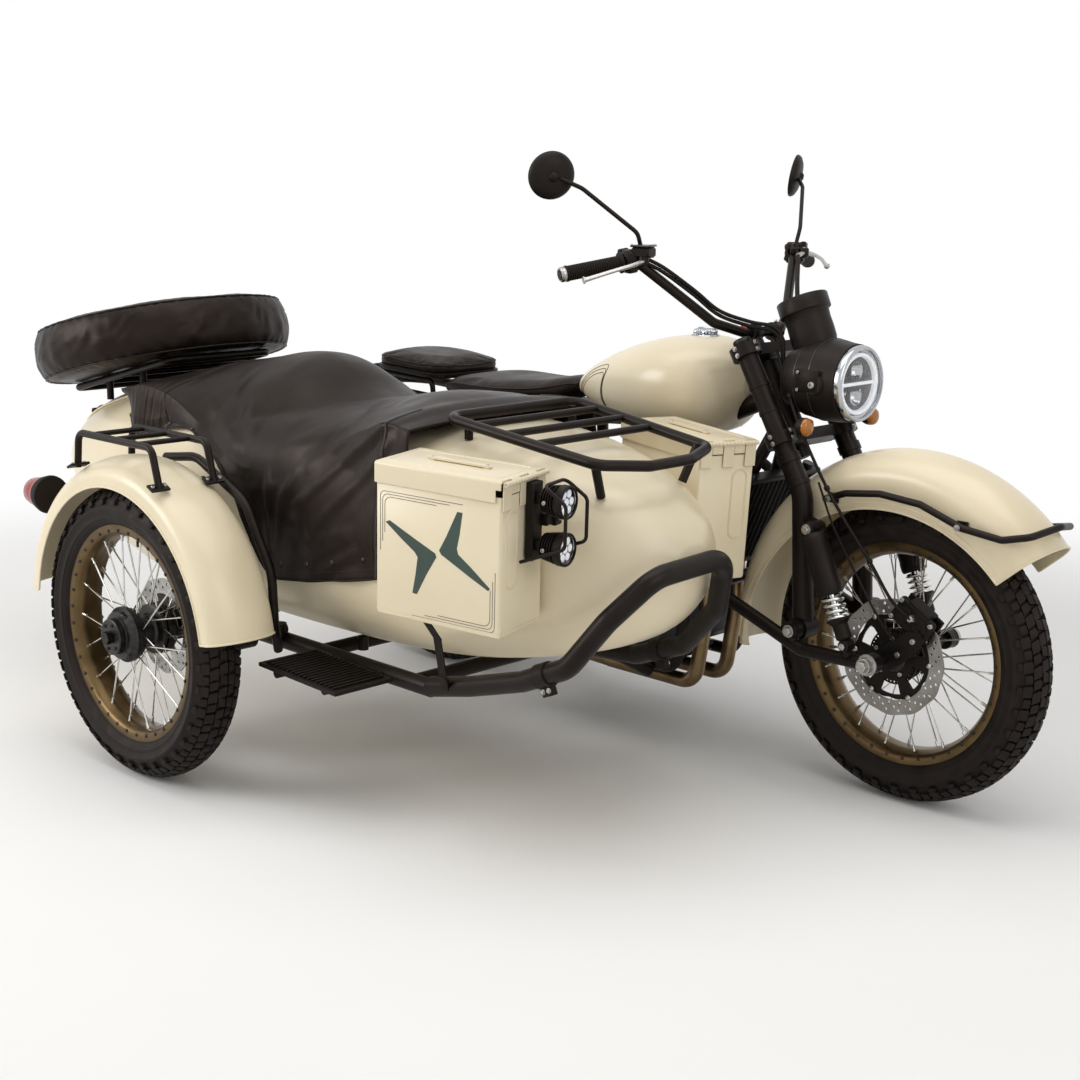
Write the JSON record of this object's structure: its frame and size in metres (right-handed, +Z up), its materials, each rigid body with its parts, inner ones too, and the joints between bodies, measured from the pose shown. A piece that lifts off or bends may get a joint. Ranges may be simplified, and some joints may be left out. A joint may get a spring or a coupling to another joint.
{
  "type": "sidecar motorcycle",
  "caption": "Retro motorcycle with a one-seat sidecar on its right: wire wheels, leading-link fork, snapped-on vinyl cover, nose rack, side boxes with lids and a covered spare wheel.",
  "frame": {"origin": "on the floor under the middle of the whole vehicle (bottom centre of its bounding box)", "axes": "+X forward, +Y to the rider's left, +Z up"},
  "size_m": [2.579, 1.6899, 1.3779],
  "materials": {
    "cream_paint": "satin",
    "black_frame": "satin",
    "engine_case": "matt",
    "radiator_core": "matt",
    "pipe_bronze": "satin",
    "bright_metal": "polished",
    "bare_steel": "brushed",
    "seat_leather": "satin",
    "cover_vinyl": "satin",
    "lamp_lens": "gloss",
    "amber_lens": "gloss",
    "black_plastic": "satin",
    "rim_bronze": "satin",
    "tyre": "matt",
    "chain_steel": "oiled",
    "cable_rubber": "satin"
  },
  "bodies": {
    "chassis": {"bike_frame": "black_frame", "engine_block": "engine_case", "radiator": "radiator_core", "exhaust_system": "pipe_bronze", "fuel_tank": "cream_paint", "fuel_cap": "bright_metal", "saddle": "seat_leather", "pillion_seat": "seat_leather", "side_covers": "cream_paint", "rear_fender": "cream_paint", "tail_lamp": "lamp_lens", "rear_swingarm": "black_frame", "shock_absorbers": "black_frame", "drive_chain": "chain_steel", "foot_pegs": "black_frame", "sidecar_frame": "black_frame", "front_bumper": "black_frame", "step_plate": "black_frame", "sidecar_tub": "cream_paint", "tonneau_cover": "cover_vinyl", "nose_rack": "black_frame", "outer_box": "cream_paint", "inner_box": "cream_paint", "spot_lamps": "black_plastic", "sidecar_fender": "cream_paint", "fender_rack": "black_frame", "sidecar_lamp": "lamp_lens", "sidecar_swingarm": "black_frame", "trunk_hinges": "black_frame"},
    "steering": {"steering_fork": "black_frame", "leading_link": "black_frame", "front_shocks": "black_frame", "front_fender": "cream_paint", "fender_rail": "black_frame", "headlamp": "bright_metal", "lamp_shell": "black_plastic", "gauge_pod": "black_plastic", "handlebar": "black_frame", "hand_controls": "cable_rubber", "mirrors": "black_plastic", "front_indicators": "amber_lens", "brake_caliper": "black_frame", "control_cables": "cable_rubber"},
    "front_wheel": {"front_tyre": "tyre", "front_rim": "rim_bronze", "front_brake_disc": "bare_steel"},
    "rear_wheel": {"rear_tyre": "tyre", "rear_rim": "rim_bronze"},
    "sidecar_wheel": {"sidecar_tyre": "tyre", "sidecar_rim": "rim_bronze"},
    "outer_lid": {"outer_box_lid": "cream_paint"},
    "inner_lid": {"inner_box_lid": "cream_paint"},
    "trunk": {"trunk_lid": "cream_paint", "trunk_rack": "black_frame", "spare_wheel": "cover_vinyl"}
  },
  "joints": [
    {"name": "steering_head", "type": "hinge", "parent": "chassis", "child": "steering", "pos_m": [0.62974, 0.36306, 0.7485], "axis": [-0.5, 0, 0.866], "range_deg": [-30, 30]},
    {"name": "front_wheel_spin", "type": "hinge", "parent": "steering", "child": "front_wheel", "pos_m": [0.95174, 0.36306, 0.33], "axis": [0, 1, 0], "continuous": true},
    {"name": "rear_wheel_spin", "type": "hinge", "parent": "chassis", "child": "rear_wheel", "pos_m": [-0.54826, 0.36306, 0.33], "axis": [0, 1, 0], "continuous": true},
    {"name": "sidecar_wheel_spin", "type": "hinge", "parent": "chassis", "child": "sidecar_wheel", "pos_m": [-0.31326, -0.75094, 0.33], "axis": [0, 1, 0], "continuous": true},
    {"name": "outer_lid_hinge", "type": "hinge", "parent": "chassis", "child": "outer_lid", "pos_m": [0.69538, -0.54843, 0.78577], "axis": [-0.2234, 0.9741, 0.0349], "range_deg": [0, 100]},
    {"name": "inner_lid_hinge", "type": "hinge", "parent": "chassis", "child": "inner_lid", "pos_m": [0.69538, 0.04655, 0.78577], "axis": [0.2234, 0.9741, -0.0349], "range_deg": [0, 100]},
    {"name": "trunk_lid_hinge", "type": "hinge", "parent": "chassis", "child": "trunk", "pos_m": [-1.16026, -0.25094, 0.692], "axis": [0, -1, 0], "range_deg": [0, 60]}
  ]
}
